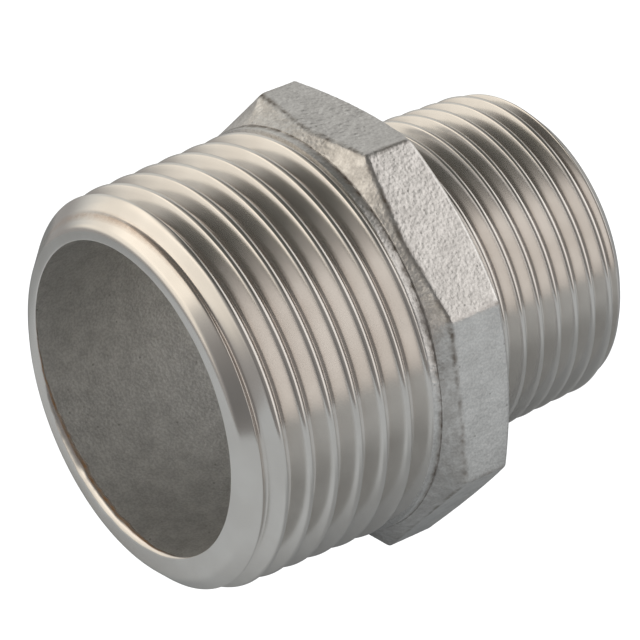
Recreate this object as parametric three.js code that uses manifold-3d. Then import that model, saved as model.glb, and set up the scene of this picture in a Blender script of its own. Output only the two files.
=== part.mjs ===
// Reducing nipple: one stainless casting with a tapered male pipe thread at each end and an
// octagonal wrench section between them. A bore runs right through and narrows under the
// wrench section. Millimetres, +Z up. The axis is X, the large thread points to -X, and the
// origin is on the axis, half way along.
//
// The real nipple is a single piece of metal. Its three regions are kept as three solids
// that meet face to face, because each is made and finished in its own way.
import * as THREE from 'three';
import { mergeVertices } from 'three/addons/utils/BufferGeometryUtils.js';
import Module from 'manifold-3d';

const wasm = await Module();
wasm.setup();

// ---- driving dimensions -------------------------------------------------------------

const INCH = 25.4;
const TURN = 2 * Math.PI;

// Lengths along the axis.
const LARGE_THREAD_LENGTH = 17.2;
const WRENCH_THICKNESS = 6.4;
const SMALL_THREAD_LENGTH = 16.4;
const SHOULDER_LENGTH = 0.75; // plain cast band at the end of each thread
const SHOULDER_RISE = 0.15; // how much its radius grows towards the wrench section

// Wrench section.
const ACROSS_FLATS = 35;
const WRENCH_SIDES = 8;
const FRONT_RIM_RADIUS = 17.15; // where the front cone starts
const FRONT_CONE_SLOPE = 0.76; // axial rise for each unit of radius
const BACK_RIM_RADIUS = 17.25;
const BACK_CONE_SLOPE = 0.45;

// Bore: wide behind the large thread, then a cone, then narrow through the small thread.
const LARGE_BORE_RADIUS = 13.0;
const SMALL_BORE_RADIUS = 9.8;
const BORE_CONE_START = 16.0; // from the large end face
const BORE_CONE_LENGTH = 6.0;

// Tapered pipe thread form: 55 degree flanks, 1 in 16 taper on the diameter.
const HALF_FLANK_ANGLE = THREE.MathUtils.degToRad(27.5);
const TAPER_ON_RADIUS = 1 / 32;
const THREAD_DEPTH_PER_PITCH = 0.640327;
const FLAT_PER_PITCH = 0.1667; // width of the truncated crest and of the root
const CUTTER_CLEARANCE_PER_PITCH = 0.1; // how far the cutter stands out of the crests
const OVERRUN_PITCHES = 0.6; // how far it runs past each end of the thread

// Thread sizes. The gauge diameter is the major diameter at the gauge plane.
const LARGE_THREAD = {
  pitch: INCH / 11,
  gaugeDiameter: 33.249,
  gaugeLength: 10.391,
  mouthRadius: 14.2,
  grooveFromEndFace: 0.95, // to the groove's centre, straight above the axis
};
const SMALL_THREAD = {
  pitch: INCH / 14,
  gaugeDiameter: 26.441,
  gaugeLength: 9.525,
  mouthRadius: 11.3,
  grooveFromEndFace: 0.15,
};

// Facets round the axis, the same for every turned surface and for each turn of a thread.
const FACETS = 36;
const FACET_ANGLE = TURN / FACETS;

// ---- worked out from the above ------------------------------------------------------

const OVERALL_LENGTH = LARGE_THREAD_LENGTH + WRENCH_THICKNESS + SMALL_THREAD_LENGTH;
const LARGE_END_X = -OVERALL_LENGTH / 2;
const SMALL_END_X = OVERALL_LENGTH / 2;
const WRENCH_FRONT_X = LARGE_END_X + LARGE_THREAD_LENGTH;
const WRENCH_BACK_X = WRENCH_FRONT_X + WRENCH_THICKNESS;
const CORNER_RADIUS = ACROSS_FLATS / 2 / Math.cos(Math.PI / WRENCH_SIDES);

// ---- helpers ------------------------------------------------------------------------

// Turns a three.js geometry into a manifold solid.
function toSolid(geometry) {
  const bare = geometry.clone();
  bare.deleteAttribute('normal');
  bare.deleteAttribute('uv');
  const merged = mergeVertices(bare);
  return new wasm.Manifold(new wasm.Mesh({
    numProp: 3,
    vertProperties: merged.attributes.position.array,
    triVerts: new Uint32Array(merged.index.array),
  }));
}

// Turns a manifold solid into a three.js geometry.
function toGeometry(solid) {
  const { vertProperties, triVerts } = solid.getMesh();
  const geometry = new THREE.BufferGeometry();
  geometry.setAttribute('position', new THREE.BufferAttribute(vertProperties, 3));
  geometry.setIndex(new THREE.BufferAttribute(triVerts, 1));
  geometry.computeVertexNormals();
  return geometry;
}

// A turned ring on the X axis. The profile is a list of [x, radius] that closes on itself,
// given so that it runs outwards across the -X face and then along the outside to +X.
function turned(profile) {
  const points = profile.map(([x, radius]) => new THREE.Vector2(radius, x));
  points.push(points[0].clone());
  return new THREE.LatheGeometry(points, FACETS).rotateZ(-Math.PI / 2);
}

function boreRadiusAt(x) {
  const along = (x - LARGE_END_X - BORE_CONE_START) / BORE_CONE_LENGTH;
  return THREE.MathUtils.lerp(
    LARGE_BORE_RADIUS,
    SMALL_BORE_RADIUS,
    THREE.MathUtils.clamp(along, 0, 1),
  );
}

// The bore's profile points from toX back to fromX, with the corners of its cone.
function boreProfile(fromX, toX) {
  const coneCorners = [
    LARGE_END_X + BORE_CONE_START + BORE_CONE_LENGTH,
    LARGE_END_X + BORE_CONE_START,
  ].filter((x) => x > fromX && x < toX);
  return [toX, ...coneCorners, fromX].map((x) => [x, boreRadiusAt(x)]);
}

// The path of a thread's root: a right-hand helix round the X axis, in whole steps of one
// facet. Its frames hold the thread form in the plane through the axis.
class ThreadRoot extends THREE.Curve {
  constructor({ firstStep, lastStep, xAtStep, rootRadiusAt }) {
    super();
    Object.assign(this, { firstStep, lastStep, xAtStep, rootRadiusAt });
  }

  getPoint(t, target = new THREE.Vector3()) {
    const step = THREE.MathUtils.lerp(this.firstStep, this.lastStep, t);
    const x = this.xAtStep(step);
    const radius = this.rootRadiusAt(x);
    const angle = step * FACET_ANGLE;
    return target.set(x, radius * Math.cos(angle), radius * Math.sin(angle));
  }

  getPointAt(t, target) {
    return this.getPoint(t, target);
  }

  computeFrenetFrames(segments) {
    const frames = { tangents: [], normals: [], binormals: [] };
    for (let i = 0; i <= segments; i += 1) {
      const angle = THREE.MathUtils.lerp(this.firstStep, this.lastStep, i / segments) * FACET_ANGLE;
      frames.tangents.push(new THREE.Vector3(0, -Math.sin(angle), Math.cos(angle)));
      frames.normals.push(new THREE.Vector3(1, 0, 0));
      frames.binormals.push(new THREE.Vector3(0, Math.cos(angle), Math.sin(angle)));
    }
    return frames;
  }
}

// The groove's section: the V between two crests, with its root flat on the path.
function grooveSection(pitch) {
  const height = (THREAD_DEPTH_PER_PITCH + CUTTER_CLEARANCE_PER_PITCH) * pitch;
  const rootHalf = (FLAT_PER_PITCH * pitch) / 2;
  const topHalf = rootHalf + height * Math.tan(HALF_FLANK_ANGLE);
  return new THREE.Shape([
    new THREE.Vector2(-rootHalf, 0),
    new THREE.Vector2(rootHalf, 0),
    new THREE.Vector2(topHalf, height),
    new THREE.Vector2(-topHalf, height),
  ]);
}

// One threaded end: from its end face at endX, by way of the thread and a plain shoulder, to
// the wrench section at wrenchX.
function threadedEnd(endX, wrenchX, thread) {
  const inward = Math.sign(wrenchX - endX);
  const depth = THREAD_DEPTH_PER_PITCH * thread.pitch;
  const endCrestRadius = thread.gaugeDiameter / 2 - thread.gaugeLength * TAPER_ON_RADIUS;
  const crestRadiusAt = (x) => endCrestRadius + (x - endX) * inward * TAPER_ON_RADIUS;
  const chamfer = endCrestRadius - thread.mouthRadius;
  const chamferX = endX + inward * chamfer;
  const shoulderX = wrenchX - inward * SHOULDER_LENGTH;

  const outside = [
    [endX, thread.mouthRadius],
    [chamferX, crestRadiusAt(chamferX)],
    [shoulderX, crestRadiusAt(shoulderX)],
    [wrenchX, crestRadiusAt(shoulderX) + SHOULDER_RISE],
  ];
  if (inward < 0) outside.reverse();
  const lowX = Math.min(endX, wrenchX);
  const highX = Math.max(endX, wrenchX);
  const blank = turned([...outside, ...boreProfile(lowX, highX)]);

  // The cutter runs in from the air beyond the end face and is stopped square at the
  // shoulder, so the thread keeps its full depth up to there.
  const grooveX = endX + inward * thread.grooveFromEndFace;
  const stepAbove = FACETS / 4;
  const stepAtX = (x) => stepAbove + ((x - grooveX) / thread.pitch) * FACETS;
  const path = new ThreadRoot({
    firstStep: Math.floor(stepAtX(lowX - thread.pitch * OVERRUN_PITCHES)),
    lastStep: Math.ceil(stepAtX(highX + thread.pitch * OVERRUN_PITCHES)),
    xAtStep: (step) => grooveX + ((step - stepAbove) * thread.pitch) / FACETS,
    rootRadiusAt: (x) => crestRadiusAt(x) - depth,
  });
  const cutter = new THREE.ExtrudeGeometry(grooveSection(thread.pitch), {
    extrudePath: path,
    steps: path.lastStep - path.firstStep,
    bevelEnabled: false,
  });
  const stopped = toSolid(cutter).trimByPlane([-inward, 0, 0], -inward * shoulderX);
  return toGeometry(toSolid(blank).subtract(stopped));
}

// The wrench section: an octagonal block turned to a cone on both faces.
function wrenchSection() {
  const corners = [];
  for (let i = 0; i < WRENCH_SIDES; i += 1) {
    const angle = (TURN * (i + 0.5)) / WRENCH_SIDES;
    corners.push(new THREE.Vector2(CORNER_RADIUS * Math.cos(angle), CORNER_RADIUS * Math.sin(angle)));
  }
  const block = new THREE.ExtrudeGeometry(new THREE.Shape(corners), {
    depth: WRENCH_THICKNESS,
    bevelEnabled: false,
  });
  block.rotateY(Math.PI / 2);
  block.translate(WRENCH_FRONT_X, 0, 0);

  const outerRadius = CORNER_RADIUS + 1;
  const envelope = turned([
    [WRENCH_FRONT_X, FRONT_RIM_RADIUS],
    [WRENCH_FRONT_X + (outerRadius - FRONT_RIM_RADIUS) * FRONT_CONE_SLOPE, outerRadius],
    [WRENCH_BACK_X - (outerRadius - BACK_RIM_RADIUS) * BACK_CONE_SLOPE, outerRadius],
    [WRENCH_BACK_X, BACK_RIM_RADIUS],
    ...boreProfile(WRENCH_FRONT_X, WRENCH_BACK_X),
  ]);
  return toGeometry(toSolid(block).intersect(toSolid(envelope)));
}

// ---- materials ----------------------------------------------------------------------

const turnedStainless = () => new THREE.MeshStandardMaterial({
  color: 0xc9c1b6,
  roughness: 0.3,
  metalness: 1,
});
const castStainless = () => new THREE.MeshStandardMaterial({
  color: 0xa3a19c,
  roughness: 0.55,
  metalness: 1,
});

// ---- the nipple ---------------------------------------------------------------------

const group = new THREE.Group();

function addMesh(name, geometry, material) {
  const mesh = new THREE.Mesh(geometry, material);
  mesh.name = name;
  group.add(mesh);
}

addMesh(
  'large_male_thread',
  threadedEnd(LARGE_END_X, WRENCH_FRONT_X, LARGE_THREAD),
  turnedStainless(),
);
addMesh('wrench_octagon', wrenchSection(), castStainless());
addMesh(
  'small_male_thread',
  threadedEnd(SMALL_END_X, WRENCH_BACK_X, SMALL_THREAD),
  turnedStainless(),
);

export default group;
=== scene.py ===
"""Looks of the reducing nipple: a large and a small taper thread on an octagonal collar.

The one real casting is shown as three closed meshes, one for each CAD node. All sizes are
in millimetres until a mesh is written, and the axis of the nipple is X, as in the CAD.
"""

import math

import bpy
import numpy as np
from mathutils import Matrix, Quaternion, Vector, noise


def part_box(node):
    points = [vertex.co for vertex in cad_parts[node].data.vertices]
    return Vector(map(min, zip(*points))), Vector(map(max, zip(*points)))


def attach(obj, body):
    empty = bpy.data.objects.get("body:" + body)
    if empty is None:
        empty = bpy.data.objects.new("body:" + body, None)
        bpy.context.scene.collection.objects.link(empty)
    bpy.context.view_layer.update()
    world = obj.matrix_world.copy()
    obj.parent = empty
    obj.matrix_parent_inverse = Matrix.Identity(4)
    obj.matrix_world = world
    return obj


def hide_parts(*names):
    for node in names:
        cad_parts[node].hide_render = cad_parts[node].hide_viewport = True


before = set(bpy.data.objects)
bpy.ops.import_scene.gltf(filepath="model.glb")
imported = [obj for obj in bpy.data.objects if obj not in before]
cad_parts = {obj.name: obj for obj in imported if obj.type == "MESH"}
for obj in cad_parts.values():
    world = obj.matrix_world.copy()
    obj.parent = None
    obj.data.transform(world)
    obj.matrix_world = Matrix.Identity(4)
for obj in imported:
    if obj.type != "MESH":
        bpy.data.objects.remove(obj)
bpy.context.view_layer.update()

MM = 0.001
INCH = 25.4
TURN = 2 * math.pi

# ---- sizes ----------------------------------------------------------------------------

# From the CAD: both ends, and the front (the large thread's side) and back of the collar.
large_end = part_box("large_male_thread")[0] / MM
wrench_low, wrench_high = (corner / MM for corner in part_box("wrench_octagon"))
small_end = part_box("small_male_thread")[1] / MM
LARGE_END_X = large_end.x
FRONT_X = wrench_low.x
BACK_X = wrench_high.x
SMALL_END_X = small_end.x
HALF_ACROSS_FLATS = wrench_high.z

# Bore, from the large end: wide, then a cone, then narrow. The first two are radii.
LARGE_BORE = 13.0
SMALL_BORE = 9.8
LARGE_BORE_LENGTH = 16.0
BORE_CONE_START = LARGE_END_X + LARGE_BORE_LENGTH
BORE_CONE_LENGTH = 6.0

# Plain band between each thread and the collar: how long it is, how far it stands above the
# crests, how much more at the collar, how long the step up to it is, and its rings.
SHOULDER_LENGTH = 0.75
SHOULDER_STEP = 0.03
SHOULDER_RISE = 0.03
SHOULDER_WALL = 0.06
SHOULDER_RINGS = 5

# Painted shade in the corner between the shoulder and the collar, and how far it spreads.
SHOULDER_CORNER_SHADE = 0.75
SHOULDER_CORNER_SHADE_WIDTH = 0.5

# Collar: an octagon with a cone turned on both faces. The rims are the cones' radii at the
# faces. The blends round the edges between flats, at the front and at the back. The front
# one also grows with the octagon's height above the rim.
FRONT_RIM = 16.95
BACK_RIM = 17.25
BACK_SLOPE = 0.45
CORNER_BLEND = 0.12
FRONT_BLEND = 0.1
FRONT_BLEND_GROWTH = 0.12
BACK_BLEND = 0.8
BACK_ROUNDING = 0.9

# Painted shade along the octagon's front edge and at its corners, in patches, and a film on the
# cone.
EDGE_SHADE_WIDTH = 0.36
CORNER_SHADE_WIDTH = 0.3
CORNER_SHADE = 0.65
CONE_STAIN = 0.25
EDGE_SHADE_PATCH = 1.6
PATCH_MEAN = 0.65
PATCH_THINNEST = 0.25

# How far back from the collar's front the octagon reaches its full size, at these angles
# round the axis in degrees. The real edge is uneven.
FRONT_REACH = ((22, 1.2), (67, 2.05), (90, 0.85), (112, 1.3), (135, 0.5), (157, 0.8))
FRONT_REACH += ((180, 1.3), (202, 1.5), (292, 1.2))

# The bore is a little off the thread's axis, upwards.
BORE_OFFSET = 0.22
BORE_OFFSET_ANGLE = math.radians(72)

# Taper pipe thread form, rounded at root and crest.
HALF_FLANK = math.radians(27.5)
TAPER = 1 / 32
DEPTH_PER_PITCH = 0.640327
FILLET_PER_PITCH = 0.1373

# Mouth: the end face rolls over into a 45 degree chamfer, which the thread cuts into.
MOUTH_PITCHES = 1.15
MOUTH_ROUNDING = 0.9
MOUTH_ARC_LENGTH = MOUTH_ROUNDING * (1 - math.cos(math.pi / 4))
MOUTH_ARC_START = MOUTH_ROUNDING * math.tan(math.pi / 8)
MOUTH_FULLER_BELOW = 0.5
CHAMFER_BLEND = 0.22

# The grooves start shallow at the mouth: this share of the depth, for this many pitches.
LEAD_IN_DEPTH = 0.68
LEAD_IN_START = 0.35
LEAD_IN_LENGTH = 0.6

# Dirt in the bottom of the grooves, most of it round one place, in degrees.
ROOT_STAIN = 0.45
ROOT_STAIN_WIDTH = 0.16
ROOT_STAIN_ELSEWHERE = 0.2
ROOT_STAIN_AT = 100
ROOT_STAIN_SPREAD = 90

# Bevel of the bore's edge, and how wavy and ragged it is. At the large end it is widest
# round one place, in degrees. The cast bore begins a little way past it.
BEVEL = 0.07
BEVEL_WAVE = 0.03
WIDE_BEVEL = 0.44
WIDE_BEVEL_WAVE = 0.12
WIDE_BEVEL_RAGGED = 0.06
WIDE_BEVEL_AT = 305
WIDE_BEVEL_SPREAD = 75
PAST_BEVEL = 1.2

# Cast skin: size of its pebbles, height of its relief, and finer pebbles in a share of both.
BORE_PEBBLE = 0.42
BORE_GRAIN = 0.013
SHOULDER_PEBBLE = 0.4
SHOULDER_GRAIN = 0.004
SHOULDER_GRAIN_RADIUS = 17.0
COLLAR_PEBBLE = 0.34
COLLAR_PEBBLE_TOP = 1.4
CONE_GRAIN = 0.006
FLAT_GRAIN = 0.011
TOP_FLAT_EXTRA_GRAIN = 0.033
TOP_FLAT_AT = 90
TOP_FLAT_SPREAD = 40
FINE_PEBBLE_SIZE = 0.45
FINE_PEBBLE_HEIGHT = 0.5

# How fine the meshes are, and how close to a ring a thread row is merged into it.
BORE_RING_SPACING = 0.24
MOUTH_RING_SPACING = 0.04
MOUTH_ARC_RINGS = 7
FILLET_POINTS = 6
COLLAR_COLUMNS = 720
COLLAR_RINGS = 56
BACK_EDGE_RINGS = 19
MERGE_DISTANCE = 1e-4
THREAD_SHARP_ANGLE = math.radians(38)
COLLAR_SHARP_ANGLE = math.radians(50)


class Thread:
    """One threaded end. It runs from its end face to the collar. end_crest and mouth are the
    radii of the crests and of the mouth at the end face. groove is how far in from the end
    face a groove's centre is, straight above the axis."""

    def __init__(self, end_x, collar_x, pitch, end_crest, mouth, bore, groove, columns):
        self.end_x = end_x
        self.collar_x = collar_x
        self.inward = math.copysign(1, collar_x - end_x)
        self.pitch = pitch
        self.end_crest = end_crest
        self.mouth = mouth
        self.bore = bore
        self.groove_x = end_x + self.inward * groove
        self.shoulder_x = collar_x - self.inward * SHOULDER_LENGTH
        self.columns = columns
        self.form_at, self.form_height, self.rows = thread_form(pitch)

    def crest(self, x):
        return self.end_crest + np.abs(x - self.end_x) * TAPER

    def groove_at(self, angle):
        """Where a groove's centre is at this angle: right hand, by a pitch for each turn."""
        return self.groove_x + (angle / TURN - 0.25) * self.pitch

    def chamfer(self, x, angle):
        """Radius of the mouth's rolled edge and chamfer, which are fuller underneath."""
        along = np.abs(x - self.end_x)
        in_arc = np.minimum(along, MOUTH_ARC_LENGTH)
        arc = np.sqrt(MOUTH_ROUNDING**2 - (MOUTH_ROUNDING - in_arc) ** 2)
        fuller = MOUTH_FULLER_BELOW * np.clip(-np.sin(angle), 0, 1)
        on_arc = self.mouth - MOUTH_ARC_START + arc
        return np.where(along < MOUTH_ARC_LENGTH, on_arc, self.mouth + along) + fuller

    def from_groove(self, x, angle):
        """Distance along the axis to the nearest groove's centre."""
        turns = (x - self.groove_at(angle)) / self.pitch
        return np.abs(turns - np.round(turns)) * self.pitch

    def radius(self, x, angle):
        depth = self.form_height[-1]
        cut = depth - np.interp(self.from_groove(x, angle), self.form_at, self.form_height)
        along = np.abs(x - self.end_x)
        lead = np.clip((along / self.pitch - LEAD_IN_START) / LEAD_IN_LENGTH, 0, 1)
        cut = cut * (LEAD_IN_DEPTH + (1 - LEAD_IN_DEPTH) * lead)
        return smooth_min(self.crest(x) - cut, self.chamfer(x, angle), CHAMFER_BLEND)

    def root_stain(self, x, angle):
        """Dirt in the bottom of the grooves, most of it on the upper side."""
        away = self.from_groove(x, angle) / (ROOT_STAIN_WIDTH * self.pitch)
        near_root = np.clip(1 - away, 0, 1)
        here = bump_at(angle, ROOT_STAIN_AT, ROOT_STAIN_SPREAD)
        share = ROOT_STAIN_ELSEWHERE + (1 - ROOT_STAIN_ELSEWHERE) * here
        return ROOT_STAIN * near_root * share


def thread_form(pitch):
    """Half of the thread form, from the groove's centre to the crest's, and a pitch's rows."""
    depth = DEPTH_PER_PITCH * pitch
    turn = math.pi / 2 - HALF_FLANK
    fillet = FILLET_PER_PITCH * pitch
    flank_end = fillet * math.sin(turn)
    form = []
    for step in np.linspace(0, turn, FILLET_POINTS):
        form.append((fillet * math.sin(step), fillet * (1 - math.cos(step))))
    root_height = form[-1][1]
    for share in (0.25, 0.5, 0.75):
        at = flank_end + (pitch / 2 - 2 * flank_end) * share
        form.append((at, root_height + (depth - 2 * root_height) * share))
    for step in np.linspace(turn, 0, FILLET_POINTS):
        form.append((pitch / 2 - fillet * math.sin(step), depth - fillet * (1 - math.cos(step))))
    form_at, form_height = np.array(form).T
    rows = np.concatenate([form_at, pitch - form_at[-2:0:-1]])
    return form_at, form_height, rows


def smooth_min(a, b, blend):
    """The smaller of two radii, with the corner between them rounded off."""
    near = np.clip(1 - np.abs(a - b) / blend, 0, 1)
    return np.minimum(a, b) - near**2 * blend / 4


def bump_at(angle, centre, half_width):
    """1 at one place round the axis, falling smoothly to 0 on both sides. Degrees."""
    away = np.degrees(angle) - centre
    away = np.abs((away + 180) % 360 - 180)
    near = np.clip(1 - away / half_width, 0, 1)
    return near * near * (3 - 2 * near)


def bore_radius(x):
    along = np.clip((x - BORE_CONE_START) / BORE_CONE_LENGTH, 0, 1)
    return LARGE_BORE + (SMALL_BORE - LARGE_BORE) * along


def bore_offset(angle):
    return BORE_OFFSET * np.cos(angle - BORE_OFFSET_ANGLE)


def pebbles(x, radius, angle, size):
    """Roughness of an as-cast skin, about -1 to 1, at points given round the axis."""
    y = radius * np.cos(angle)
    z = radius * np.sin(angle)
    coarse = [noise.noise(Vector(p)) for p in np.stack([x, y, z], 1) / size]
    fine_size = FINE_PEBBLE_SIZE * size
    fine = [noise.noise(Vector(p)) for p in np.stack([z, x, y], 1) / fine_size]
    return np.array(coarse) + FINE_PEBBLE_HEIGHT * np.array(fine)


class RingMesh:
    """A closed mesh built from rings of points round the X axis."""

    def __init__(self, columns):
        self.angles = np.arange(columns) * TURN / columns
        self.points = []
        self.stains_and_shade = []
        self.count = 0
        self.faces = []
        self.finishes = []

    def ring(self, x, radius, stain_and_shade=0.0):
        """Adds a ring and returns its point numbers, with the first one again at the end."""
        x = np.broadcast_to(x, self.angles.shape)
        radius = np.broadcast_to(radius, self.angles.shape)
        y = radius * np.cos(self.angles)
        z = radius * np.sin(self.angles)
        self.points.append(np.stack([x, y, z], 1))
        self.stains_and_shade.append(np.broadcast_to(stain_and_shade, self.angles.shape))
        numbers = self.count + np.arange(len(self.angles))
        self.count += len(numbers)
        return np.append(numbers, numbers[0])

    def join(self, first, second, finish):
        """Faces between two rings, less the ones that merged points leave without area."""
        corners = np.stack([first[:-1], first[1:], second[1:], second[:-1]], 1)
        for quad in corners.tolist():
            face = list(dict.fromkeys(quad))
            if len(face) > 2:
                self.faces.append(face)
                self.finishes.append(finish)

    def build(self, name, materials, sharp_angle):
        mesh = bpy.data.meshes.new(name)
        mesh.from_pydata((np.concatenate(self.points) * MM).tolist(), [], self.faces)
        for material in materials:
            mesh.materials.append(material)
        mesh.polygons.foreach_set("material_index", self.finishes)
        # Stains and painted shade: an amount for each point.
        stain_and_shade = mesh.attributes.new("stain_and_shade", "FLOAT", "POINT")
        stain_and_shade.data.foreach_set("value", np.concatenate(self.stains_and_shade).astype(np.float32))
        mesh.shade_smooth()
        mesh.set_sharp_from_angle(angle=sharp_angle)
        mesh.update()
        piece = bpy.data.objects.new(name, mesh)
        bpy.context.scene.collection.objects.link(piece)
        weighted = piece.modifiers.new("weighted_normals", "WEIGHTED_NORMAL")
        weighted.keep_sharp = True
        return piece


# Material slots of a mesh.
TURNED, CAST, BORE = 0, 1, 2


def add_bore(body, from_x, to_x):
    """Bore rings from from_x down to to_x. Returns the first ring and the last."""
    steps = max(2, round((from_x - to_x) / BORE_RING_SPACING))
    first = last = None
    for x in np.linspace(from_x, to_x, steps + 1):
        skin = pebbles(np.full(body.angles.shape, x), bore_radius(x), body.angles, BORE_PEBBLE)
        ring = body.ring(x, bore_radius(x) + bore_offset(body.angles) + BORE_GRAIN * skin)
        if last is None:
            first = ring
        else:
            body.join(last, ring, BORE)
        last = ring
    return first, last


def unevenness(angles, size, height):
    """Smooth noise round the axis, read along a circle of this size at this height in it."""
    circle = ((size * math.cos(a), size * math.sin(a), height) for a in angles)
    return np.array([noise.noise(Vector(place)) for place in circle])


def add_end_face(body, thread):
    """Rings of the end face, from its rolled outer edge in to the bore. The bore's edge is
    bevelled, most of all along one stretch, and stained brown there. Returns them in order."""
    angles = body.angles
    wave = unevenness(angles, size=7, height=0)
    ragged = unevenness(angles, size=30, height=4)
    bevel = BEVEL + BEVEL_WAVE * wave
    stain_and_shade = np.clip(wave + ragged, 0, 0.5)
    if thread.inward > 0:
        here = bump_at(angles, WIDE_BEVEL_AT, WIDE_BEVEL_SPREAD)
        wider = WIDE_BEVEL + WIDE_BEVEL_WAVE * wave + WIDE_BEVEL_RAGGED * ragged
        bevel = bevel + here * wider
        stain_and_shade = np.maximum(stain_and_shade, np.clip(here * 2.5, 0, 1) * (0.8 + 0.5 * ragged))
    rings = []
    # Each ring, in shares of the bevel: how far out from the bore, how far in from the end
    # face, and how much of the stain it has.
    for out, along, stain_share in (
        (1.25, 0.0, 0.0),
        (1.0, 0.03, 0.0),
        (0.6, 0.25, 0.0),
        (0.25, 0.55, 0.0),
        (0.06, 0.80, 0.3),
        (0.0, 0.92, 1.0),
        (0.0, 1.25, 1.0),
        (0.0, 1.65, 0.0),
    ):
        x = thread.end_x + thread.inward * bevel * along
        radius = thread.bore + bore_offset(angles) + bevel * out
        rings.append(body.ring(x, radius, stain_and_shade * stain_share))
    return rings


def add_thread_rows(body, thread, low_x, high_x, low_ring, high_ring):
    """Rows that follow the helix, cut off at two rings that stand square to the axis."""
    per_turn = len(thread.rows)
    start_x = thread.groove_at(0)
    start_x += math.floor((low_x - start_x) / thread.pitch - 1) * thread.pitch
    turns = math.ceil((high_x - start_x) / thread.pitch) + 1
    row_x = np.concatenate([start_x + turn * thread.pitch + thread.rows for turn in range(turns)])
    x = row_x[:, None] + body.angles[None, :] / TURN * thread.pitch
    radius = thread.radius(x, body.angles[None, :])
    below = x <= low_x + MERGE_DISTANCE
    inside = ~below & (x < high_x - MERGE_DISTANCE)
    numbers = np.where(below, low_ring[None, :-1], high_ring[None, :-1])
    numbers[inside] = body.count + np.arange(inside.sum())
    angle = np.broadcast_to(body.angles[None, :], x.shape)[inside]
    kept_x, kept_radius = x[inside], radius[inside]
    kept = np.stack([kept_x, kept_radius * np.cos(angle), kept_radius * np.sin(angle)], 1)
    body.points.append(kept)
    body.stains_and_shade.append(thread.root_stain(kept_x, angle))
    body.count += len(kept)
    next_turn = np.append(numbers[per_turn:, 0], np.full(per_turn, high_ring[0]))
    numbers = np.column_stack([numbers, next_turn])
    for first, second in zip(numbers[:-1], numbers[1:]):
        body.join(first, second, TURNED)


def threaded_end(name, thread, materials):
    """A threaded end as one closed mesh. Its parts are listed from the bore's inner end, out
    along the bore, over the end face and back along the thread to the shoulder."""
    body = RingMesh(thread.columns)
    mouth_length = MOUTH_PITCHES * thread.pitch
    mouth_x = thread.end_x + thread.inward * mouth_length
    arc_steps = MOUTH_ROUNDING * (1 - np.cos(np.linspace(0, math.pi / 4, MOUTH_ARC_RINGS)))
    cone_steps = np.arange(
        MOUTH_ARC_LENGTH + MOUTH_RING_SPACING, mouth_length, MOUTH_RING_SPACING
    )
    mouth_rings = []
    for along in np.concatenate([arc_steps, cone_steps, [mouth_length]]):
        x = thread.end_x + thread.inward * along
        radius = thread.radius(x, body.angles)
        mouth_rings.append(body.ring(x, radius, thread.root_stain(x, body.angles)))
    face_rings = add_end_face(body, thread)
    shoulder_x = thread.shoulder_x
    thread_ring = body.ring(shoulder_x, thread.radius(shoulder_x, body.angles))
    shoulder_rings = []
    wall = thread.inward * SHOULDER_WALL
    plain_x = np.linspace(shoulder_x + 2 * wall, thread.collar_x, SHOULDER_RINGS)
    for x in np.concatenate([[shoulder_x + wall], plain_x]):
        at = np.full(body.angles.shape, x)
        skin = pebbles(at, SHOULDER_GRAIN_RADIUS, body.angles, SHOULDER_PEBBLE)
        rise = SHOULDER_RISE * abs(x - shoulder_x) / SHOULDER_LENGTH
        radius = thread.crest(shoulder_x) + SHOULDER_STEP + rise + SHOULDER_GRAIN * skin
        # Painted shade in the corner at the collar, patchy with the cast skin.
        near_collar = np.clip(1 - abs(thread.collar_x - x) / SHOULDER_CORNER_SHADE_WIDTH, 0, 1)
        stain_and_shade = SHOULDER_CORNER_SHADE * near_collar * np.clip(1 + skin, 0, 1.5)
        shoulder_rings.append(body.ring(x, radius, stain_and_shade))
    bore_x = thread.end_x + thread.inward * PAST_BEVEL
    if thread.inward > 0:
        bore_high, bore_low = add_bore(body, thread.collar_x, bore_x)
        bore_mouth, bore_inner = bore_low, bore_high
        add_thread_rows(body, thread, mouth_x, shoulder_x, mouth_rings[-1], thread_ring)
    else:
        bore_high, bore_low = add_bore(body, bore_x, thread.collar_x)
        bore_mouth, bore_inner = bore_high, bore_low
        add_thread_rows(body, thread, shoulder_x, mouth_x, thread_ring, mouth_rings[-1])

    def join_all(rings, finish):
        for first, second in zip(rings[:-1], rings[1:]):
            if thread.inward > 0:
                body.join(first, second, finish)
            else:
                body.join(second, first, finish)

    join_all([bore_mouth, face_rings[-1]], BORE)
    join_all([*face_rings[::-1], mouth_rings[0]], TURNED)
    join_all(mouth_rings, TURNED)
    join_all([thread_ring, *shoulder_rings], CAST)
    join_all([shoulder_rings[-1], bore_inner], CAST)
    return body.build(name, materials, THREAD_SHARP_ANGLE)


def collar_surface(x, angle):
    """The octagon's radius, cut back by the two cones, whether a point is on the front cone,
    and how much painted shade its edges get there."""
    from_corner = np.mod(angle, TURN / 8) - TURN / 16
    flats = []
    for side in (-1, 1):
        flats.append(HALF_ACROSS_FLATS / np.cos(from_corner + side * TURN / 16))
    outline = smooth_min(flats[0], flats[1], CORNER_BLEND)
    reach_at, reach_by = np.array(FRONT_REACH).T
    reach = np.interp(np.degrees(angle), reach_at, reach_by, period=360)
    growth = outline - FRONT_RIM
    front = FRONT_RIM + growth * (x - FRONT_X) / reach
    back = BACK_RIM + (BACK_X - x) / BACK_SLOPE
    radius = smooth_min(outline, front, FRONT_BLEND + FRONT_BLEND_GROWTH * growth)
    radius = smooth_min(radius, back, BACK_BLEND)
    front_edge = np.clip(1 - np.abs(x - FRONT_X - reach) / EDGE_SHADE_WIDTH, 0, 1)
    corner = np.clip(1 - np.abs(flats[0] - flats[1]) / CORNER_SHADE_WIDTH, 0, 1)
    corner = corner * (np.minimum(front, back) > outline - CORNER_SHADE_WIDTH)
    return radius, front < outline, np.maximum(front_edge, CORNER_SHADE * corner)


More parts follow.
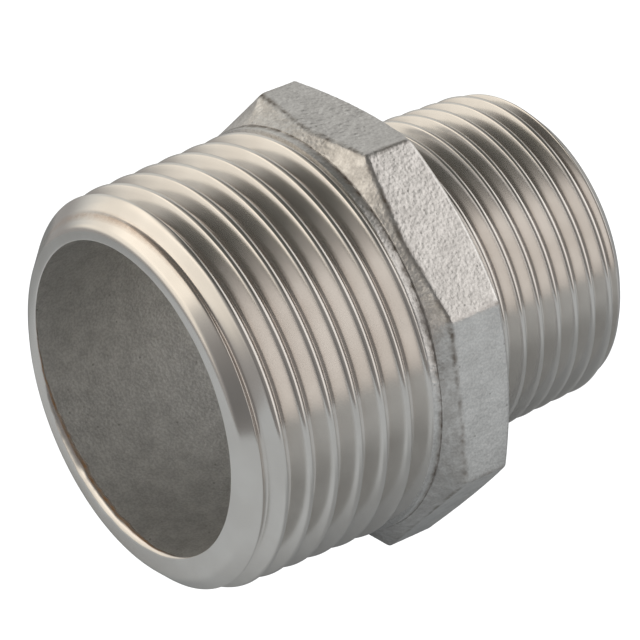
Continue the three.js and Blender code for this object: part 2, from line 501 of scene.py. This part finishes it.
def collar(name, materials):
    """The octagonal collar as one closed mesh, with finer rings on its rounded back edge."""
    body = RingMesh(COLLAR_COLUMNS)
    first = last = None
    main = np.linspace(FRONT_X, BACK_X - BACK_ROUNDING, COLLAR_RINGS)
    back_edge = np.linspace(BACK_X - BACK_ROUNDING, BACK_X, BACK_EDGE_RINGS)
    for x in np.concatenate([main, back_edge[1:]]):
        at = np.full(body.angles.shape, x)
        radius, on_cone, edge = collar_surface(at, body.angles)
        skin = pebbles(at, radius, body.angles, COLLAR_PEBBLE)
        patchy = PATCH_MEAN + pebbles(at, radius, body.angles, EDGE_SHADE_PATCH)
        on_top = bump_at(body.angles, TOP_FLAT_AT, TOP_FLAT_SPREAD)
        coarse = FLAT_GRAIN + TOP_FLAT_EXTRA_GRAIN * on_top
        depth = np.where(on_cone, CONE_GRAIN, coarse)
        # Painted shade along the front edge and at the corners, in patches, and the film on the
        # cone.
        edge = edge * np.clip(patchy, PATCH_THINNEST, 1)
        stain_and_shade = np.maximum(edge, np.where(on_cone, CONE_STAIN, 0))
        ring = body.ring(x, radius - depth * (COLLAR_PEBBLE_TOP + skin), stain_and_shade)
        if last is None:
            first = ring
        else:
            body.join(last, ring, CAST)
        last = ring
    bore_high, bore_low = add_bore(body, BACK_X, FRONT_X)
    body.join(last, bore_high, CAST)
    body.join(bore_low, first, CAST)
    return body.build(name, materials, COLLAR_SHARP_ANGLE)


# ---- node helpers ---------------------------------------------------------------------


def node(tree, kind, inputs=(), output=0, **settings):
    """Adds a node, sets it up, feeds its inputs with values or sockets, returns an output."""
    made = tree.nodes.new(kind)
    for setting, value in settings.items():
        setattr(made, setting, value)
    pairs = inputs.items() if isinstance(inputs, dict) else enumerate(inputs)
    for key, value in pairs:
        if isinstance(value, bpy.types.NodeSocket):
            tree.links.new(value, made.inputs[key])
        elif value is not None:
            made.inputs[key].default_value = value
    return made.outputs[output]


def maths(tree, operation, *inputs):
    return node(tree, "ShaderNodeMath", inputs, operation=operation)


def ramp(tree, value, low, high, from_low=0.0, from_high=1.0, smooth=True):
    """Value mapped from one range to another, held at the ends."""
    return node(
        tree,
        "ShaderNodeMapRange",
        {"Value": value, 1: from_low, 2: from_high, 3: low, 4: high},
        interpolation_type="SMOOTHSTEP" if smooth else "LINEAR",
    )


# ---- materials ------------------------------------------------------------------------

# Brown dirt on the turned steel, grey-brown dirt and painted shade on the cast skin, and painted
# shade for the floor of its pits.
TURNED_DIRT = (0.46, 0.23, 0.09)
CAST_DIRT_AND_SHADE = (0.13, 0.095, 0.065)
PIT_SHADE_COLOUR = (0.25, 0.24, 0.22)


def metal(name, roughness, anisotropic):
    """Starts a metal. Returns the material, its node tree and its shader, and
    add_stains_and_shade gives it its colour, with stains and painted shade, and makes it
    metallic."""
    material = bpy.data.materials.new(name)
    material.use_nodes = True
    tree = material.node_tree
    shader = tree.nodes["Principled BSDF"]
    shader.inputs["Roughness"].default_value = roughness
    shader.inputs["Anisotropic"].default_value = anisotropic
    return material, tree, shader


def opaque(colour):
    """A colour with its alpha. Sockets are left alone."""
    return (*colour, 1) if isinstance(colour, tuple) else colour


def mixed(tree, factor, first, second):
    """Colour mixed from two colours or sockets."""
    return node(
        tree,
        "ShaderNodeMix",
        {"Factor": factor, 6: opaque(first), 7: opaque(second)},
        output=2,
        data_type="RGBA",
    )


def add_stains_and_shade(tree, place, colour, dirt_and_shade, thinnest):
    """Feeds the shader this colour, with matt dirt and painted shade where the mesh marks them.
    Thinnest is the share of it that is left between its patches."""
    stain_and_shade_here = node(tree, "ShaderNodeAttribute", attribute_name="stain_and_shade", output="Fac")
    patchy = node(tree, "ShaderNodeTexNoise", {"Vector": place, "Scale": 1500.0, "Detail": 3.0})
    amount = maths(tree, "MULTIPLY", stain_and_shade_here, ramp(tree, patchy, thinnest, 1.0, 0.35, 0.6))
    shader = tree.nodes["Principled BSDF"]
    tree.links.new(mixed(tree, amount, colour, dirt_and_shade), shader.inputs["Base Color"])
    tree.links.new(maths(tree, "SUBTRACT", 1.0, amount), shader.inputs["Metallic"])


def turned_stainless():
    """Lathe-turned steel: fine rings round the axis, so it blurs reflections across them."""
    material, tree, shader = metal("turned_stainless", 0.19, 0.6)
    place = node(tree, "ShaderNodeTexCoord", output="Object")
    x, y, z = (node(tree, "ShaderNodeSeparateXYZ", [place], output=i) for i in range(3))
    across = node(tree, "ShaderNodeCombineXYZ", [0.0, y, z])
    radius = node(tree, "ShaderNodeVectorMath", [across], output="Value", operation="LENGTH")
    along = node(tree, "ShaderNodeCombineXYZ", [x, radius, 0.0])
    rings = node(tree, "ShaderNodeTexNoise", {"Vector": along, "Scale": 4500.0, "Detail": 2.0})
    cloud = node(tree, "ShaderNodeTexNoise", {"Vector": place, "Scale": 260.0, "Detail": 4.0})
    patches = ramp(tree, cloud, 0, 1, 0.35, 0.65)
    steel = mixed(tree, patches, (0.785, 0.758, 0.73), (0.83, 0.806, 0.78))
    add_stains_and_shade(tree, place, steel, TURNED_DIRT, thinnest=0.65)
    normal = node(
        tree, "ShaderNodeBump", {"Strength": 0.05, "Distance": 0.000006, "Height": rings}
    )
    tree.links.new(normal, shader.inputs["Normal"])
    tangent = node(tree, "ShaderNodeTangent", direction_type="RADIAL", axis="X")
    tree.links.new(tangent, shader.inputs["Tangent"])
    shader.inputs["Anisotropic Rotation"].default_value = 0.25
    return material


def cast_stainless(name, low, high, roughness, relief):
    """Investment-cast and blasted steel: a fine pebbled skin with scattered small pits. Low
    and high are the colours that it varies between, and relief is its height in metres."""
    material, tree, shader = metal(name, roughness, 0)
    place = node(tree, "ShaderNodeTexCoord", output="Object")
    dimples = node(
        tree, "ShaderNodeTexVoronoi", {"Vector": place, "Scale": 3200.0}, feature="SMOOTH_F1"
    )
    fine = node(tree, "ShaderNodeTexNoise", {"Vector": place, "Scale": 5200.0, "Detail": 2.0})
    grain = maths(tree, "MULTIPLY_ADD", fine, 0.7, dimples)
    pits = node(tree, "ShaderNodeTexVoronoi", {"Vector": place, "Scale": 850.0})
    pit = ramp(tree, pits, 0, 1, 0.02, 0.14)
    height = maths(tree, "MULTIPLY_ADD", pit, 0.4, grain)
    cloud = node(tree, "ShaderNodeTexNoise", {"Vector": place, "Scale": 700.0, "Detail": 5.0})
    patches = ramp(tree, cloud, 0, 0.5, 0.3, 0.7)
    tone = maths(tree, "MULTIPLY_ADD", ramp(tree, fine, 0, 1, 0.4, 0.62), 0.5, patches)
    steel = mixed(tree, tone, low, high)
    # Painted shade on the floors of the pits.
    steel = mixed(tree, ramp(tree, pit, 0.5, 0.0), steel, PIT_SHADE_COLOUR)
    add_stains_and_shade(tree, place, steel, CAST_DIRT_AND_SHADE, thinnest=0.35)
    normal = node(
        tree, "ShaderNodeBump", {"Strength": 0.65, "Distance": relief, "Height": height}
    )
    tree.links.new(normal, shader.inputs["Normal"])
    return material


# In the order of the slots TURNED, CAST and BORE.
FINISHES = (
    turned_stainless(),
    cast_stainless(
        "cast_stainless",
        low=(0.71, 0.70, 0.69),
        high=(0.93, 0.92, 0.91),
        roughness=0.32,
        relief=0.000045,
    ),
    cast_stainless(
        "cast_bore",
        low=(0.67, 0.665, 0.655),
        high=(0.92, 0.915, 0.90),
        roughness=0.46,
        relief=0.00005,
    ),
)

# ---- the nipple -----------------------------------------------------------------------

LARGE = Thread(
    end_x=LARGE_END_X,
    collar_x=FRONT_X,
    pitch=INCH / 11,
    end_crest=16.30,
    mouth=14.2,
    bore=LARGE_BORE,
    groove=0.95,
    columns=300,
)
SMALL = Thread(
    end_x=SMALL_END_X,
    collar_x=BACK_X,
    pitch=INCH / 14,
    end_crest=12.923,
    mouth=11.3,
    bore=SMALL_BORE,
    groove=0.15,
    columns=260,
)

pieces = {
    "large_male_thread": threaded_end("large_thread", LARGE, FINISHES),
    "wrench_octagon": collar("collar", FINISHES),
    "small_male_thread": threaded_end("small_thread", SMALL, FINISHES),
}
for cad_node, piece in pieces.items():
    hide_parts(cad_node)
    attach(piece, "root")

# ---- floor, light and camera ----------------------------------------------------------


def pale_surface(name, colour, own_light):
    """A plain matt surface that also gives off light."""
    material = bpy.data.materials.new(name)
    material.use_nodes = True
    shader = material.node_tree.nodes["Principled BSDF"]
    shader.inputs["Base Color"].default_value = (*colour, 1)
    shader.inputs["Roughness"].default_value = 0.9
    shader.inputs["Emission Color"].default_value = (1, 1, 1, 1)
    shader.inputs["Emission Strength"].default_value = own_light
    return material


# Painted light that the table gives off, extra light at its front and left, and the shares of it
# that are left in the nipple's painted shadow and far behind.
TABLE_LIGHT = 0.18
TABLE_EXTRA_LIGHT = 0.17
SHADOW_LIGHT = 0.15
FAR_LIGHT = 0.5
SHADOW_CENTRE = (0.002, 0.016, 0.0)


def table_surface():
    """The table that the metal reflects. It gives off painted light, dimmed in a painted shadow
    of the nipple and far behind. Places on it are in metres.
    """
    material = pale_surface("table", (0.52, 0.55, 0.57), 0)
    tree = material.node_tree
    place = node(tree, "ShaderNodeTexCoord", output="Object")
    from_shadow = node(
        tree,
        "ShaderNodeVectorMath",
        [place, SHADOW_CENTRE],
        output="Value",
        operation="DISTANCE",
    )
    x, y = (node(tree, "ShaderNodeSeparateXYZ", [place], output=i) for i in range(2))
    left = ramp(tree, x, 1, 0, -0.026, -0.014)
    front = ramp(tree, y, 1, 0, -0.044, -0.024)
    brighter = maths(tree, "MAXIMUM", left, front)
    light = maths(tree, "MULTIPLY_ADD", brighter, TABLE_EXTRA_LIGHT, TABLE_LIGHT)
    in_shadow = ramp(tree, from_shadow, SHADOW_LIGHT, 1.0, 0.020, 0.040)
    light = maths(tree, "MULTIPLY", light, in_shadow)
    far_behind = ramp(tree, y, 1.0, FAR_LIGHT, 0.036, 0.052)
    light = maths(tree, "MULTIPLY", light, far_behind)
    shader = tree.nodes["Principled BSDF"]
    tree.links.new(light, shader.inputs["Emission Strength"])
    shader.inputs["Emission Color"].default_value = (0.94, 0.98, 1.0, 1)
    return material


def disc(name, radius, z, material):
    """A flat round stage surface."""
    steps = 96
    mesh = bpy.data.meshes.new(name)
    edge = []
    for step in range(steps):
        angle = TURN * step / steps
        edge.append((radius * math.cos(angle) * MM, radius * math.sin(angle) * MM, z * MM))
    mesh.from_pydata(edge, [], [tuple(range(steps))])
    mesh.materials.append(material)
    made = bpy.data.objects.new(name, mesh)
    bpy.context.scene.collection.objects.link(made)
    return made


# The camera sees a wide pale floor, and the metal reflects a small table in its place.
FLOOR_RADIUS = 6000
TABLE_RADIUS = 110
FLOOR_Z = -HALF_ACROSS_FLATS
floor = disc("floor", FLOOR_RADIUS, FLOOR_Z, pale_surface("floor", (0.8, 0.8, 0.8), 0.97))
floor.visible_glossy = False
floor.visible_diffuse = False
table = disc("table", TABLE_RADIUS, FLOOR_Z, table_surface())
table.visible_camera = False

# The studio's own light, all round and overhead.
STUDIO_WALL = (0.33, 0.32, 0.31)
STUDIO_CEILING = (0.095, 0.096, 0.088)

# Patches of the studio: (azimuth, elevation, half width, half height, edge) in degrees, and
# brightness. Azimuth 0 is in front, 90 at the small end of the nipple.
STUDIO = (
    ((-155, 56, 30, 12, 8), (0.36, 0.34, 0.31)),  # upper wall, behind left
    ((176, 22, 36, 20, 8), (0.65, 0.645, 0.61)),  # pale wall behind
    ((-76, 34, 22, 14, 10), (0.50, 0.48, 0.45)),  # edge of the warm light
    ((-127, 24, 40, 23, 8), (0.98, 0.91, 0.80)),  # large warm light, behind left
    ((-124, 35, 36, 8, 7), (1.30, 1.19, 1.03)),  # its brightest band
    ((-28, 10, 46, 34, 10), (0.23, 0.22, 0.21)),  # dim camera side
    ((-52, 2, 18, 12, 8), (0.17, 0.165, 0.16)),  # dark behind the camera, near the table
    ((118, 10, 30, 28, 12), (0.45, 0.44, 0.42)),  # right end
    ((60, 20, 39, 31, 10), (0.97, 0.925, 0.88)),  # large light, front right
    ((86, 12, 14, 14, 8), (1.2, 1.18, 1.14)),  # its brightest part
)


def studio_world():
    """Soft studio light all round: two large pale lights, a dim ceiling, a dim camera side."""
    world = bpy.data.worlds.new("studio")
    world.use_nodes = True
    tree = world.node_tree
    direction = node(tree, "ShaderNodeTexCoord", output="Generated")
    x, y, z = (node(tree, "ShaderNodeSeparateXYZ", [direction], output=i) for i in range(3))
    azimuth = maths(tree, "ARCTAN2", x, maths(tree, "MULTIPLY", y, -1))
    elevation = maths(tree, "ARCSINE", z)

    def patch(azimuth_at, elevation_at, half_width, half_height, edge):
        """1 inside a patch of the surroundings and 0 outside it, with soft edges. Degrees."""
        away = maths(tree, "SUBTRACT", azimuth, math.radians(azimuth_at))
        away = maths(tree, "ABSOLUTE", maths(tree, "WRAP", away, -math.pi, math.pi))
        up = maths(tree, "SUBTRACT", elevation, math.radians(elevation_at))
        up = maths(tree, "ABSOLUTE", up)
        low, high = math.radians(half_width - edge), math.radians(half_width + edge)
        across = ramp(tree, away, 1, 0, low, high)
        low, high = math.radians(half_height - edge), math.radians(half_height + edge)
        return maths(tree, "MULTIPLY", across, ramp(tree, up, 1, 0, low, high))

    high_up = ramp(tree, elevation, 0, 1, math.radians(34), math.radians(56))
    colour = mixed(tree, high_up, STUDIO_WALL, STUDIO_CEILING)
    for place, tint in STUDIO:
        colour = mixed(tree, patch(*place), colour, tint)
    seen = node(tree, "ShaderNodeLightPath", output="Is Camera Ray")
    colour = mixed(tree, seen, colour, (1.0, 1.0, 1.0))
    tree.links.new(colour, tree.nodes["Background"].inputs["Color"])
    return world


bpy.context.scene.world = studio_world()

# Where the photo was taken from: angles round and above the nipple, and tilt. Distance and
# target are in millimetres.
VIEW_AZIMUTH = math.radians(-35.546)
VIEW_ELEVATION = math.radians(28.538)
VIEW_ROLL = math.radians(-3.728)
VIEW_DISTANCE = 341.88
VIEW_TARGET = Vector((-1.15, 0.64, -0.06))
SENSOR = 36.0
FOCAL_LENGTH = 242.1

back = Vector(
    (
        math.sin(VIEW_AZIMUTH) * math.cos(VIEW_ELEVATION),
        -math.cos(VIEW_AZIMUTH) * math.cos(VIEW_ELEVATION),
        math.sin(VIEW_ELEVATION),
    )
)
camera_data = bpy.data.cameras.new("camera")
camera_data.sensor_width = SENSOR
camera_data.lens = FOCAL_LENGTH
camera_data.clip_start = 0.01
camera_data.clip_end = 20
camera = bpy.data.objects.new("camera", camera_data)
bpy.context.scene.collection.objects.link(camera)
camera.location = (VIEW_TARGET + back * VIEW_DISTANCE) * MM
camera.rotation_mode = "QUATERNION"
level = (-back).to_track_quat("-Z", "Y")
camera.rotation_quaternion = Quaternion(back, VIEW_ROLL) @ level
bpy.context.scene.camera = camera

bpy.context.scene.view_settings.view_transform = "Standard"
